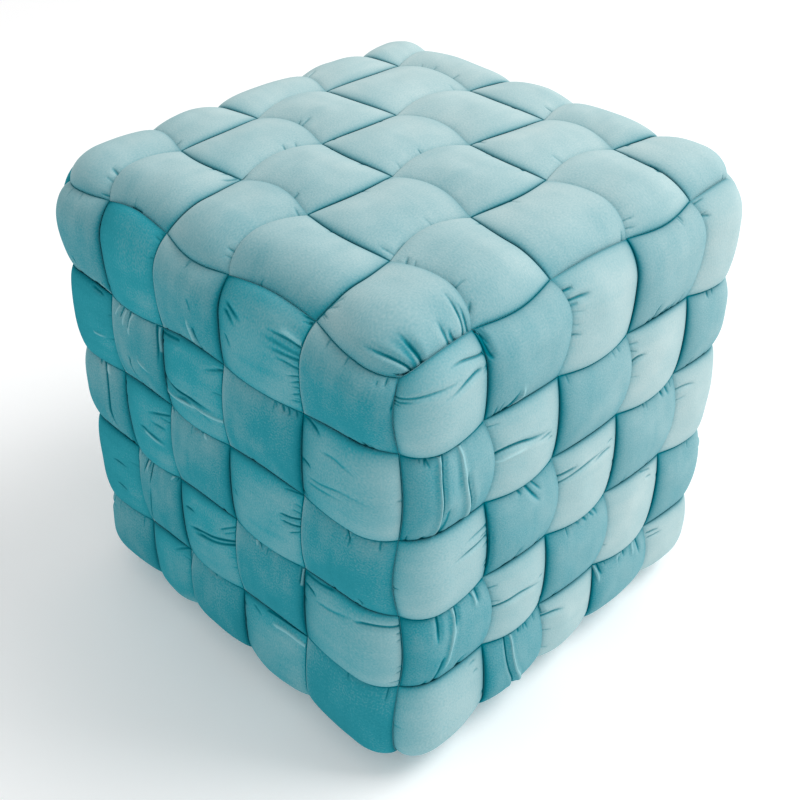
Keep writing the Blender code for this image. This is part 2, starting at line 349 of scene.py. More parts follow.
# %% The turned ends
# Distance in from the foot, outer, side and inner height, in mm
TURNED_END = (
    (5, 5, 0, -6),
    (12, 5, 0, -7),
    (22, 5, 0, -7),
    (32, 5.5, 0, -7),
    (43, 6, 0, -7),
    (52, 6, 0, -6),
    (58, 6, 1, -4.5),
    (60, 5, 2, -3),
)
MITRE_GAP = 1.5 * MM          # between two ends that meet in a corner of the underside
TURN_LENGTH = 20 * MM         # over which the woven section becomes that of the turned end


def mitred(place, distance, kind, index, foot, half):
    """Draw in the outer side of a corner strap's end, so that two ends meet at 45 degrees."""
    wide = LOOPS[kind][0]
    side = -1 if index == 1 else 1
    inside_edge = 1.0 if index == 1 else STRAPS - 1.0
    at_edge = box_point(loop_cell(kind, np.array([inside_edge]), np.array([float(foot)])))
    width = half - side * at_edge[0, wide]
    from_side = half - side * place
    narrow = width - (width - from_side) * (width - distance - MITRE_GAP) / width
    return side * (half - narrow)


def turned_row(kind, index, at_start, row):
    """One row of points round a strap's end that is turned under the pouf."""
    wide, first, _ = LOOPS[kind]
    distance, outer_rise, side_rise, inner_rise = (value * MM for value in row)
    across = np.concatenate((across_outer, across_inner))
    swell = side_swell(across)
    rises = np.where(np.arange(len(across)) < len(across_outer), outer_rise, inner_rise)
    height = side_rise + (rises - side_rise) * swell
    softened = min(distance / TURN_LENGTH, 1)
    at_foot = np.where(rises > 0, RISE * bow(across), inner_height(True, across, 0.5))
    height = at_foot + (height - at_foot) * softened
    foot = 0.0 if at_start else 3.0 * STRAPS
    inset = across * (1 - 2 * SIDE_GAP)
    flat = box_point(loop_cell(kind, strap_middle(kind, index) + inset, np.full(len(across), foot)))
    flat[..., first] += distance if at_start else -distance
    if index in (1, STRAPS):
        half = (WIDTH, DEPTH)[wide] / 2
        flat[..., wide] = mitred(flat[..., wide], distance, kind, index, foot, half)
    point = rounded(flat, height)
    point[..., 2] = np.maximum(point[..., 2], 0)
    return point


print("length of a turned end, mm:", TURNED_END[-1][0])

# %% [markdown]
# ## Creases
#
# Velvet straps are sewn a little longer than they need to be, and the surplus gathers where they
# dive under their neighbours. The table holds the folds that the photograph shows, under the kind
# and the number of a strap and the cell along it, counted from 0. Each line gives a depth and a
# width in tenths of a millimetre, then the places that the fold runs through, across and along
# the cell in hundredths. A negative depth is a ridge.

# %% The folds of the cells that the photograph shows
CREASES = {
    ("long", 1, 1): (
        (20, 18, -10, 50, -12, 34, -15, 12),
        (-20, 20, 6, 48, 2, 20, -3, -8, -10, -44),
        (20, 18, 9, 46, 5, 21),
        (16, 20, -8, -8, -11, -26, -13, -50),
        (-14, 18, 32, 49, 30, 38, 29, 29),
        (14, 18, 36, 46, 33, 29),
        (14, 26, 15, -50, 15, -36, 22, -33),
    ),
    ("long", 1, 3): (
        (-20, 18, -7, 50, -10, 37, -12, 3, -12, -35, -13, -50),
        (20, 18, -4, 50, -8, 34, -10, 1, -10, -37, -11, -50),
        (-20, 20, 14, 50, 12, 34, 12, 5, 19, -39, 22, -50),
        (18, 18, 16, 21, 17, -10, 24, -38, 27, -50),
        (14, 22, -20, 50, -24, 40),
        (12, 26, -4, -13, -5, -37, -8, -50),
        (12, 20, -24, -50, -22, -45),
        (10, 30, 11, 41, 8, 15, 7, -16),
    ),
    ("long", 1, 5): (
        (22, 22, -30, -50, -28, -44, -28, -30, -29, -19, -32, -4),
        (24, 22, -16, -50, -14, -40, -13, -29, -12, -16),
        (12, 40, -24, -50, -20, -41, -17, -28, -17, -14),
        (20, 20, -35, -50, -42, -48, -42, -36),
        (10, 20, -36, -50, -50, -42),
        (16, 25, 18, -50, 15, -41, 13, -32, 12, -24),
        (16, 25, 26, -50, 21, -42, 20, -34),
        (20, 20, 38, -49, 36, -36, 35, -28, 34, -20, 34, -9),
        (18, 20, 44, -48, 41, -36, 40, -29, 38, -21),
        (8, 18, -24, 50, -16, 46),
        (8, 18, -28, 50, -20, 38),
    ),
    ("long", 1, 9): (
        (14, 22, -18, -50, -15, -38),
        (10, 22, -44, -49, -45, -38),
    ),
    ("long", 2, 0): (
        (-20, 20, -6, 50, -8, 41, -7, 20, 21, -48),
        (20, 20, -15, 50, -17, 40, -16, 21, 8, -48),
        (14, 24, 8, 50, 7, 43),
        (12, 22, 20, 50, 17, 46),
    ),
    ("long", 2, 2): (
        (18, 26, 3, 50, 9, 38, 19, 19),
        (14, 26, -8, 50, -4, 42),
        (14, 22, 12, 50, 23, 31),
        (14, 24, -9, -50, -5, -41, -3, -28),
        (14, 24, -24, -50, -17, -50),
        (16, 26, -50, 11, -50, -9, -50, -32),
    ),
    ("long", 2, 4): (
        (22, 26, -50, 50, -48, 38, -48, 29, -46, 20),
        (12, 22, -49, 48, -46, 36, -44, 26),
        (-20, 18, -22, -50, -12, -47, -12, -25),
        (16, 30, -28, -50, -18, -46, -15, -29),
    ),
    ("long", 2, 6): (
        (8, 20, -38, -50, -28, -50),
    ),
    ("long", 3, 1): (
        (14, 24, 6, 50, 13, 42),
        (14, 24, 18, 50, 24, 40),
        (12, 24, 26, 50, 30, 38),
        (10, 24, -6, 50, 1, 45),
    ),
    ("long", 4, 0): (
        (-14, 22, -2, 50, -8, 46),
        (14, 22, 5, 50, 4, 40),
        (-16, 20, 24, 50, 20, 45, 20, 32),
        (16, 22, 30, 50, 31, 37, 31, 23),
        (-16, 22, -48, 48, -44, 36, -40, 24),
        (18, 24, -42, 48, -36, 33),
    ),
    ("long", 4, 2): (
        (14, 22, -8, 50, -9, 44),
        (18, 24, 22, 50, 24, 40),
        (14, 24, 31, 50, 34, 36),
    ),
    ("long", 4, 4): (
        (16, 22, -15, -50, -13, -42, -12, -30),
        (16, 22, -5, -50, 4, -46),
        (12, 20, -23, -50, -20, -44),
        (10, 20, 7, -50, 12, -46),
    ),
    ("long", 5, 1): (
        (20, 26, 50, 16, 50, -3),
        (-14, 18, 50, 20, 10, 28),
    ),
    ("long", 5, 3): (
        (16, 24, -18, 50, -19, 40),
        (12, 22, -9, 50, -12, 42),
    ),
    ("long", 5, 5): (
        (10, 20, -50, 3, -50, -2),
    ),
    ("cross", 1, 0): (
        (12, 16, -14, 50, -20, 50),
        (10, 22, -3, 50, -12, 50),
    ),
    ("cross", 1, 2): (
        (18, 16, 1, 50, -4, 46, -6, 32),
        (-10, 16, -2, 50, -8, 43),
        (14, 18, -18, -43, -15, -32),
        (8, 20, -35, 50, -26, 50),
    ),
    ("cross", 1, 4): (
        (8, 15, -28, 44, -28, 37),
        (10, 15, -36, 46, -36, 37),
        (16, 20, -50, 40, -50, 25, -48, 13),
        (14, 18, -11, -50, -6, -50),
        (16, 18, -18, -50, -16, -42),
        (10, 16, -24, -50, -22, -46),
    ),
    ("cross", 1, 6): (
        (10, 18, -10, -50, -9, -50),
        (10, 20, -32, -50, -28, -48),
        (10, 20, 36, -50, 38, -42),
    ),
    ("cross", 2, 1): (
        (-12, 14, 15, 50, 10, 43),
        (12, 14, 12, 50, 7, 46),
        (-14, 16, -48, 48, -48, 32),
        (16, 18, -46, 47, -46, 34),
    ),
    ("cross", 2, 3): (
        (14, 18, -32, 43, -27, 50),
        (12, 16, -38, 42, -34, 50),
        (10, 16, -44, 46, -42, 50),
        (8, 16, -24, 44, -20, 50),
    ),
    ("cross", 3, 0): (
        (12, 14, 9, 50, -3, 48),
        (12, 14, 3, 50, -12, 50),
        (10, 14, -8, 50, -18, 50),
        (12, 20, 47, 46, 49, 33),
    ),
    ("cross", 3, 2): (
        (14, 16, -6, 50, -12, 48),
        (-12, 18, -10, 50, -17, 46),
        (12, 18, 2, 50, -2, 49),
        (-12, 20, 50, 50, 50, 36),
        (12, 20, 50, 50, 40, 43),
    ),
    ("cross", 3, 4): (
        (-14, 18, -12, -12, -14, -34, -15, -49),
        (18, 20, -18, -20, -18, -35, -21, -46),
        (8, 24, -12, 16, -20, -3),
    ),
    ("cross", 3, 6): (
        (16, 26, 50, -48, 50, -44),
    ),
    ("cross", 4, 1): (
        (22, 22, 8, 50, 9, 40, 12, 20),
        (18, 20, 20, 50, 31, 27),
        (-14, 18, 14, 50, 19, 33),
        (-12, 18, 46, 50, 49, 38),
        (-12, 18, -40, 50, -32, 43),
        (12, 18, -46, 50, -42, 43),
        (12, 26, 8, 24, 20, -12, 42, -48),
    ),
    ("cross", 4, 3): (
        (-12, 18, 34, 34, 26, 50),
        (14, 20, 24, 36, 19, 50),
        (-12, 20, 15, 29, 12, 50),
        (16, 22, 6, 30, 6, 50),
        (-12, 20, 2, 22, 0, 45, -2, 50),
        (20, 22, 8, -4, 7, -28, 1, -44),
        (-10, 24, -8, 0, -32, -14),
        (18, 22, -39, 50, -44, 24, -44, 2),
        (-10, 18, -46, 50, -49, 24),
    ),
    ("cross", 4, 5): (
        (14, 20, -6, -50, 7, -50),
        (12, 30, -45, 46, -40, 30),
    ),
    ("cross", 4, 7): (
        (8, 22, -9, -50, -7, -32),
    ),
    ("cross", 5, 0): (
        (16, 22, 50, 22, 8, 38),
    ),
    ("cross", 5, 2): (
        (22, 24, -18, 50, -19, 38, -23, 12, -24, -21, -27, -50, -44, -50),
        (12, 20, -10, 50, -14, 43),
        (-12, 24, -24, 50, -29, 38),
    ),
    ("cross", 5, 4): (
        (22, 22, -2, -26, -4, -50, -32, -50),
        (-14, 20, -38, -42, -50, -50),
        (16, 20, -33, -50, -49, -50),
    ),
    ("ring", 1, 0): (
        (18, 20, 24, 48, 30, 22, 32, 7, 31, -3),
        (22, 22, 14, 44, 15, 21, 13, 5, 12, -9),
        (14, 18, 26, -49, 24, -30, 21, -12, 20, 2, 21, 14),
        (12, 18, 21, -50, 20, -25),
    ),
    ("ring", 1, 2): (
        (18, 22, 31, -50, 31, -39),
        (20, 22, 21, -50, 21, -39, 20, -24),
        (10, 22, 16, -50, 17, -41),
    ),
    ("ring", 1, 4): (
        (12, 20, 28, -50, 24, -40),
    ),
    ("ring", 1, 18): (
        (16, 16, 18, 50, 20, 40, 20, 22, 21, 12),
        (-12, 20, 22, 50, 24, 39, 24, 24),
        (14, 20, 7, 50, 8, 38, 9, 17),
        (14, 20, -2, 50, 1, 42, 5, 26),
        (10, 30, 12, 50, 14, 33, 15, 7),
        (12, 14, -9, 50, -11, 38),
        (10, 14, -15, 50, -18, 40),
        (12, 14, -22, 50, -22, 42),
        (10, 14, -28, 50, -32, 40),
        (10, 14, -36, 50, -35, 42),
        (18, 18, 46, 50, 42, 45),
        (12, 20, 50, 50, 45, 36),
        (18, 24, 26, -40, 19, -26, 14, -10),
        (16, 22, 20, -40, 14, -29, 9, -18),
        (12, 26, -2, -39, -11, -31, -15, -26),
    ),
    ("ring", 2, 1): (
        (26, 26, 6, -50, 10, -34, 8, -8, 5, 14, 7, 32),
        (-10, 22, -2, -48, 1, -28, -1, -2),
        (12, 20, -1, 34, -1, 21, 1, 7),
        (10, 15, -8, 36, -6, 24),
    ),
    ("ring", 2, 3): (
        (22, 20, 12, -50, 16, -45, 18, -30),
        (8, 20, 36, -50, 36, -39),
    ),
    ("ring", 2, 15): (
        (-12, 18, -4, 19, -5, 42),
        (16, 22, 46, 28, 44, 42),
    ),
    ("ring", 2, 17): (
        (26, 28, -5, -48, -8, -24, -8, -5, -8, 22, -11, 45),
        (-14, 22, -24, -49, -16, -12, -14, 21, -18, 48),
        (14, 22, 45, -48, 46, -14),
        (10, 20, 43, 50, 33, 26),
        (10, 20, -15, -22, -15, 14, -32, 42),
    ),
    ("ring", 2, 19): (
        (18, 24, 48, -44, 43, -32, 38, -21),
        (14, 24, 2, -46, 2, -33),
        (8, 22, -10, -45, -6, -18, -1, 13, -8, 27),
        (8, 22, 26, -24, 23, 7, 19, 18),
        (8, 26, -20, -44, -12, -9, -9, 11),
    ),
    ("ring", 3, 0): (
        (20, 18, 12, 46, 14, 22, 12, -2),
        (12, 18, 24, 50, 26, 32, 26, 12),
        (10, 15, 17, 48, 20, 33),
        (8, 15, 3, 48, 4, 37),
    ),
    ("ring", 3, 2): (
        (20, 20, 24, -50, 26, -36, 29, -22),
        (18, 20, 15, -50, 20, -30, 24, 1, 29, 32),
        (14, 22, 22, 37, 22, 16, 19, -1),
        (10, 15, 30, 39, 30, 23),
    ),
    ("ring", 3, 4): (
        (14, 18, 29, -49, 30, -36, 26, -20),
    ),
    ("ring", 3, 16): (
        (14, 20, 35, 46, 25, 10),
        (18, 24, 5, -12, 1, 20, -3, 45),
        (-12, 22, 3, -4, -2, 24, -8, 44),
        (12, 20, 16, 44, 18, 15),
    ),
    ("ring", 3, 18): (
        (18, 16, 17, 26, 17, 38, 20, 50),
        (18, 18, 10, 28, 9, 40, 10, 50),
        (12, 14, -2, 38, 4, 50),
        (10, 16, 49, 46, 46, 33),
        (10, 16, 6, -42, 0, -32),
    ),
    ("ring", 4, 1): (
        (22, 22, 3, -50, 6, -20, 6, 9, 0, 39),
        (10, 15, 7, 40, 9, 26),
        (10, 20, 32, -50, 33, -37),
    ),
    ("ring", 4, 3): (
        (10, 18, 36, 29, 40, 12),
        (10, 18, 44, 27, 48, 8),
    ),
    ("ring", 4, 15): (
        (14, 18, 16, 9, 16, 37),
        (14, 18, -12, 8, -17, 31),
    ),
    ("ring", 4, 17): (
        (16, 20, 24, -37, 26, -8),
        (24, 24, 5, -30, 8, 1, 14, 28, 20, 50),
        (16, 18, 2, -19, 6, 14, 16, 50),
        (12, 16, 26, 29, 40, 50),
        (8, 16, 24, 34, 33, 50),
    ),
    ("ring", 4, 19): (
        (16, 24, 33, -46, 29, -30),
        (14, 26, 46, -46, 46, -27, 48, -15),
        (18, 20, 31, 8, 36, 24, 37, 40, 38, 50),
        (10, 18, 29, 43, 30, 50),
        (8, 18, 21, 46, 22, 50),
        (8, 26, 25, -36, 30, -1, 38, 17),
    ),
    ("ring", 5, 0): (
        (8, 20, 43, 38, 42, 24),
        (8, 20, 31, 40, 32, 30),
    ),
    ("ring", 5, 2): (
        (20, 20, 33, -48, 33, -34, 30, -14),
        (16, 22, 50, -49, 39, -48),
    ),
    ("ring", 5, 4): (
        (16, 18, 37, -46, 37, -30),
        (14, 18, 30, -46, 32, -26),
    ),
    ("ring", 5, 16): (
        (10, 20, 49, 45, 36, 18),
    ),
    ("ring", 5, 18): (
        (-14, 20, 38, 5, 42, 32, 38, 50),
        (14, 20, 48, -1, 50, 29, 50, 48),
        (10, 22, 44, -29, 38, -8),
    ),
}
print("folds read:", sum(len(found) for found in CREASES.values()))

# %% [markdown]
# The cells that the photograph does not show borrow the folds of a visible cell of the same kind,
# mirrored at random, so they have the same character. All cells get a few short gathers at
# their ends as well.

# %% Folds for every cell
GATHERS = (2, 5)              # gathers in a cell: at least, and fewer than
GATHER_PLACE = (-44, 44)      # where they start across the strap, in hundredths of a cell
GATHER_LEAN = (-3, 3)         # how far they run sideways
GATHER_LENGTH = (0.12, 0.34)  # of half a cell
GATHER_DEPTH = (4, 10)        # in tenths of a millimetre, as are the widths
GATHER_WIDTH = (13, 19)
dice = np.random.default_rng(7)


def borrowed(kind):
    """The folds of some visible cell of the same kind, mirrored at random."""
    known = [found for key, found in CREASES.items() if key[0] == kind]
    chosen = known[dice.integers(len(known))]
    mirror = dice.choice((-1, 1), 2)
    return [(depth, width, *np.ravel(np.reshape(path, (-1, 2)) * mirror))
            for depth, width, *path in chosen]


def gathers(count):
    """Short folds at the two ends of a cell."""
    made = []
    for _ in range(count):
        end, start = dice.choice((-50, 50)), dice.uniform(*GATHER_PLACE)
        lean, length = dice.uniform(*GATHER_LEAN), dice.uniform(*GATHER_LENGTH)
        depth, width = dice.uniform(*GATHER_DEPTH), dice.uniform(*GATHER_WIDTH)
        made.append((depth, width, start, end, start + lean, end * (1 - length)))
    return made


folds = {}
for kind in LOOPS:
    for index in range(1, STRAPS + 1):
        for cell in range(len(FACES[kind]) * STRAPS):
            if passes_over(kind, index, cell):
                seen = FACES[kind][cell // STRAPS][0] in ("front", "left", "top")
                known = CREASES.get((kind, index, cell), ()) if seen else borrowed(kind)
                folds[kind, index, cell] = [*known, *gathers(dice.integers(*GATHERS))]
print("folds in all:", sum(len(found) for found in folds.values()))

# %% [markdown]
# A fold is pressed into the mesh as a soft valley between two low lips. The sharp line at its
# bottom is finer than the mesh, so the mesh only stores the distance to it, and the finish draws
# the line from that distance, in relief and in painted shade. A distance changes evenly from point
# to point, which is why it gives a clean line where a stored height would give steps.

# %% The shape of a fold
CURVE_STEPS = 40              # points along a fold's smooth line
MOST_BENT = 3                 # the highest power in the curve of that line
LIPS = 0.3                    # how high a fold's lips stand, against its depth
PAST_END = 2                  # mm over which a fold dies away past its last point
START_FADE, END_FADE = 0.25, 0.55   # shares of a fold over which it comes and goes inside a cell
INSIDE = 0.46                 # an end nearer the middle than this lies inside the cell


def fold_profile(square):
    """1 at the bottom of a fold and a little below 0 at its lips; takes a squared distance."""
    return np.exp(-square) - LIPS * square * np.exp(-square / 2)


def fold_field(fold, across, along):
    """Distance from a fold in mm and its strength, 0 to 1, at places in a cell."""
    knots = np.reshape(fold[2:], (-1, 2)) / 100
    reach = np.append(0, np.cumsum(np.hypot(*np.diff(knots, axis=0).T)))
    steps = np.linspace(0, reach[-1], CURVE_STEPS)
    degree = min(len(knots) - 1, MOST_BENT)
    line = np.stack([np.polyval(np.polyfit(reach, part, degree), steps) for part in knots.T], -1)
    ways = np.gradient(line, axis=0)
    ways /= np.linalg.norm(ways, axis=-1, keepdims=True)
    away = np.stack((across, along), axis=-1)[..., None, :] - line
    nearest = (away ** 2).sum(-1).argmin(-1)
    offset = np.take_along_axis(away, nearest[..., None, None], -2)[..., 0, :]
    way = ways[nearest]
    cell_mm = WIDTH / STRAPS / MM
    distance = (way[..., 0] * offset[..., 1] - way[..., 1] * offset[..., 0]) * cell_mm
    beyond = (way * offset).sum(-1) * cell_mm
    share = nearest / (CURVE_STEPS - 1)
    strength = np.ones(across.shape)
    for knot, from_end, fade in ((knots[0], share, START_FADE), (knots[-1], 1 - share, END_FADE)):
        at_end = from_end == 0
        strength[at_end] *= np.exp(-(beyond[at_end] / PAST_END) ** 2)
        if np.abs(knot).max() < INSIDE:
            ramp = np.clip(from_end / fade, 0, 1)
            strength *= ramp * ramp * (3 - 2 * ramp)
    return distance, strength


lips = -fold_profile(np.linspace(0, 9, 91)).min()
print("height of a fold's lips, against its depth:", round(float(lips), 2))

# %% [markdown]
# All folds of a cell are added up. A vector attribute holds three numbers, so up to three sharp
# lines can be kept side by side in one cell, each in a channel of its own. The filling also swells
# a little unevenly, which broad and fine waves at odd angles give, different in every cell.

# %% The folds of one cell
SOFT_WIDTH = 1.25             # width of a fold's soft valley, against the width in the table
FOLD_CORE = 0.055             # width of its sharp core, against tenths of a mm of that width
RIDGE_WIDER = 1.4             # a ridge's line is this much wider than a valley's
CORE_CUT = 3.0                # the core ends this many core widths away
CORE_KEPT = 4.5               # distances are kept this far out, so that they stay smooth
FAINT = 0.01                  # a core weaker than this takes up no channel
FULL_FOLD = 2                 # mm of depth that draw a core in full
CHANNELS = 3                  # cores that one cell may hold side by side
DEEPEST = 3.2 * MM            # folds that meet go no deeper
UNEVEN = 0.5 * MM             # soft swells of the filling
FINE_SHARE = 0.5              # height of the fine waves in it, against the broad ones
FULL_TURN = 6.3               # in radians, as are the waves to a cell
SIDE_FADE, RIDGE_FADE = 0.05, 0.08   # cells over which folds fade at the sides, ridges at the ends


def folded(kind, index, cell, across, along):
    """The height of a cell's folds, the same in mm, and the place and depth of their cores."""
    height = np.zeros(across.shape)
    cores = np.full(across.shape + (CHANNELS,), CORE_KEPT)
    depths = np.zeros(across.shape + (CHANNELS,))
    taken = np.zeros(across.shape + (CHANNELS,), dtype=bool)
    for fold in sorted(folds.get((kind, index, cell), ()), key=lambda fold: -abs(fold[0])):
        depth, width = fold[0] / 10, fold[1] / 10
        distance, strength = fold_field(fold, across, along)
        height -= depth * MM * strength * fold_profile((distance / (SOFT_WIDTH * width)) ** 2)
        core = distance / (FOLD_CORE * fold[1] * (RIDGE_WIDER if depth < 0 else 1))
        near = (np.abs(core) < CORE_KEPT) & (strength > FAINT)
        free = [channel for channel in range(CHANNELS) if not (taken[..., channel] & near).any()]
        if free:
            cores[..., free[0]][near] = core[near]
            fade = np.maximum(0, 1 - (core / CORE_CUT) ** 2) ** 2
            depths[..., free[0]][near] = (depth / FULL_FOLD * strength * fade)[near]
            taken[..., free[0]] |= near
    press = np.clip(height, -DEEPEST, DEEPEST) / MM
    phase = dice.uniform(0, FULL_TURN, 4)
    broad = np.sin(7 * across + 4 * along + phase[0]) * np.cos(6 * along - 3 * across + phase[1])
    fine = np.sin(13 * across + phase[2]) * np.cos(11 * along + phase[3])
    height += UNEVEN * bow(across) * bow(along) * (broad + FINE_SHARE * fine)
    edge = np.clip((0.5 - np.abs(across)) / SIDE_FADE, 0, 1)
    end = np.clip((0.5 - np.abs(along)) / RIDGE_FADE, 0, 1)
    height = np.maximum(height, -DEEPEST) * edge
    return np.where(height > 0, height * end, height), press, cores, depths


print("deepest fold, mm:", DEEPEST / MM)

# %% [markdown]
# ## Painted shade and sheen along the edges
#
# Where a strap turns down beside its neighbour or dives beneath it, its colour is painted darker,
# as shade, or paler, as sheen. Which of the two happens depends on the way that the edge faces,
# so a table gives one number for each edge of a cell, face by face and kind by kind. The two faces
# that the photograph does not show follow the ones opposite.

# %% Painted shade and sheen of the four edges of a cell
# The low side, the high side, the start and the end: above 0 painted shade, below 0 painted sheen
EDGE_PAINTED_LIGHT = {
    ("top", "long"): (-0.02, 0.15, -0.12, -0.14),
    ("top", "cross"): (0.05, -0.14, -0.12, -0.02),
    ("front", "ring"): (0.05, 0.15, -0.08, 0.45),
    ("front", "long"): (0.42, 0.11, 0.20, 0.20),
    ("left", "ring"): (-0.11, 0.04, 0.55, -0.13),
    ("left", "cross"): (0.24, -0.15, -0.12, -0.07),
}
SEEN_LIKE = {"back": "front", "right": "left"}
TONE_WIDTH = 0.11             # painted shade and sheen fade over this many cells
LINE_USUAL, LINE_LEAST = 0.42, 0.08   # strength of the painted shade line on a plain seam, and at least
LINE_TONE = 2.0               # how much stronger it is at a shaded edge, weaker at a pale one
LINE_BLEND = 0.05             # cells over which one edge's line turns into the next one's


def edge_painted_light(face, kind, over, from_edges):
    """Painted shade and sheen, and the seam line's strength; a diving stretch is all painted shade.
    """
    tones = np.array(EDGE_PAINTED_LIGHT[SEEN_LIKE.get(face, face), kind])
    near = np.exp(-from_edges / TONE_WIDTH)
    shade = near @ np.maximum(tones, 0) if over else np.ones(from_edges.shape[:-1])
    pale = near @ np.maximum(-tones, 0)
    share = np.exp(-from_edges / LINE_BLEND)
    strengths = np.clip(LINE_USUAL + LINE_TONE * tones, LINE_LEAST, 1)
    return shade, pale, share @ strengths / share.sum(-1)


print("edges with their own tone:", 4 * len(EDGE_PAINTED_LIGHT))

# %% [markdown]
# ## Making the straps
#
# A cloth simulation could press filled straps on one another, but fifteen that all touch would
# take it long, and every small change would let them settle in another way. So each strap's
# points are placed by the sums above, row by row and cell by cell. With its place every point
# gets what the velvet needs: the distances to the cell's edges and to its folds, and the painted
# shade and sheen of its edges.

# %% The rows of a strap
EDGE_NAMES = ("from_low", "from_high", "from_start", "from_end")
TONE_NAMES = ("shade", "pale", "drawn")
AT_SIDE = 0.4999              # the outermost columns of the outer sheet lie beyond this
FAR = 0.5                     # distance to an edge, in cells, where a point has none near


def woven_rows(kind, index):
    """All rows of a strap's woven stretch, their places along it and what the finish needs."""
    legs = 4 if kind == "ring" else 3
    points, along_cells, press, edges, tones, cores, depths = [], [], [], [], [], [], []
    for cell in range(legs * STRAPS):
        over = passes_over(kind, index, cell)
        face = FACES[kind][cell // STRAPS][0]
        along = cell_rows(kind, index, cell)
        if kind != "ring" and cell == legs * STRAPS - 1:
            along = np.append(along, 0.5)
        t, a = np.meshgrid(along, across_outer, indexing="ij")
        height = outer_height(over, a, t)
        side = (RISE + LAYER_GAP) * bow(t) * (1 if over else -1)
        height = np.where(np.abs(a) > AT_SIDE, side, height)
        crease, pressed, core, depth = folded(kind, index, cell, a, t)
        height += crease
        press.append(pressed)
        from_edges = np.stack((0.5 + a, 0.5 - a, 0.5 + t, 0.5 - t), axis=-1) * over
        edges.append(from_edges)
        tones.append(np.stack(edge_painted_light(face, kind, over, from_edges), axis=-1))
        cores.append(core)
        depths.append(depth)
        outer = woven_point(kind, index, cell, a * (1 - 2 * SIDE_GAP), t, height)
        t_in, a_in = np.meshgrid(along, across_inner, indexing="ij")
        inner = woven_point(kind, index, cell, a_in * (1 - 2 * SIDE_GAP), t_in,
                            inner_height(over, a_in, t_in))
        points.append(np.concatenate((outer, inner), axis=1))
        along_cells.append(cell + 0.5 + along)
    parts = (points, along_cells, press, edges, tones, cores, depths)
    return [np.concatenate(rows) for rows in parts]


print("values for each point:", 2 + len(EDGE_NAMES) + len(TONE_NAMES), "and two vectors")

# %% [markdown]
# The rows are joined into one skin. A ring joins its last row to its first, and the other straps
# are closed by a cap at either end. A cap has as many corners as a row has points, so it is cut
# into triangles, and then the outward side of every face is worked out afresh. A UV map in metres
# follows the strap, so that the nap runs along it and goes round every corner with it.

# %% The skin of a strap
def skin(name, points, is_ring):
    """A closed mesh through rows of points that go round a strap."""
    rows, columns = points.shape[:2]
    numbers = np.arange(rows * columns).reshape(rows, columns)
    before = numbers if is_ring else numbers[:-1]
    after = np.roll(numbers, -1, axis=0) if is_ring else numbers[1:]
    quads = np.stack((before, np.roll(before, -1, 1), np.roll(after, -1, 1), after), axis=-1)
    faces = quads.reshape(-1, 4).tolist()
    if not is_ring:
        faces += [numbers[0][::-1].tolist(), numbers[-1].tolist()]
    mesh_data = bpy.data.meshes.new(name)
    mesh_data.from_pydata(points.reshape(-1, 3).tolist(), [], faces)
    shape = bmesh.new()
    shape.from_mesh(mesh_data)
    bmesh.ops.triangulate(shape, faces=[face for face in shape.faces if len(face.verts) > 4])
    bmesh.ops.recalc_face_normals(shape, faces=shape.faces)
    shape.to_mesh(mesh_data)
    shape.free()
    mesh_data.shade_smooth()
    return mesh_data


print("corners of a cap:", columns_round)

# %% Its UV map and its values
def lay_run(mesh_data, along):
    """The UV map `run`: metres across and along the strap, which the nap follows."""
    width = np.concatenate((across_outer, across_inner[::-1])) * WIDTH / STRAPS
    run_across = np.tile(width, len(along))
    run_along = np.repeat(along * WIDTH / STRAPS, columns_round)
    corners = np.empty(len(mesh_data.loops), dtype=int)
    mesh_data.loops.foreach_get("vertex_index", corners)
    uv = np.stack((run_across[corners], run_along[corners]), axis=-1)
    mesh_data.uv_layers.new(name="run").data.foreach_set("uv", uv.ravel())


def store(mesh_data, title, woven, plain):
    """Store the values of the woven outer sheet on a strap's points, and `plain` on all others."""
    rows = len(mesh_data.vertices) // columns_round
    turned = (rows - len(woven)) // 2
    values = np.full((rows, columns_round, *woven.shape[2:]), plain, dtype=np.float32)
    values[turned:rows - turned, :len(across_outer)] = woven
    form, field = ("FLOAT", "value") if values.ndim == 2 else ("FLOAT_VECTOR", "vector")
    mesh_data.attributes.new(title, form, "POINT").data.foreach_set(field, values.ravel())


print("width of the outer sheet, mm:", round(WIDTH / STRAPS / MM, 1))

# %% One strap
def strap(kind, index):
    """One strap as a closed mesh object; the long and the cross straps get their turned ends."""
    points, along, press, edges, tones, cores, depths = woven_rows(kind, index)
    if kind != "ring":
        start = [turned_row(kind, index, True, row) for row in reversed(TURNED_END)]
        end = [turned_row(kind, index, False, row) for row in TURNED_END]
        points = np.concatenate((start, points, end))
        reach = np.array([row[0] for row in TURNED_END]) * MM * STRAPS / DEPTH
        along = np.concatenate((-reach[::-1], along, along[-1] + reach))
    name = f"velvet_{kind}_strap_{index}"
    mesh_data = skin(name, points, kind == "ring")
    lay_run(mesh_data, along)
    store(mesh_data, "fold", cores, CORE_KEPT)
    store(mesh_data, "depth", depths, 0.0)
    store(mesh_data, "press", press, 0.0)
    store(mesh_data, "seam", edges.min(-1), FAR)
    for title, values in zip(EDGE_NAMES, np.moveaxis(edges, -1, 0)):
        store(mesh_data, title, values, FAR)
    for title, values in zip(TONE_NAMES, np.moveaxis(tones, -1, 0)):
        store(mesh_data, title, values, 0.0)
    piece = bpy.data.objects.new(name, mesh_data)
    bpy.context.scene.collection.objects.link(piece)
    return piece


straps = {
    (kind, index): strap(kind, index) for kind in LOOPS for index in range(1, STRAPS + 1)
}
for (kind, index), piece in straps.items():
    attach(piece, "root")
    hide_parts(f"{kind}_strap_{index}")
print("straps:", len(straps), "quads:", sum(len(p.data.polygons) for p in straps.values()))

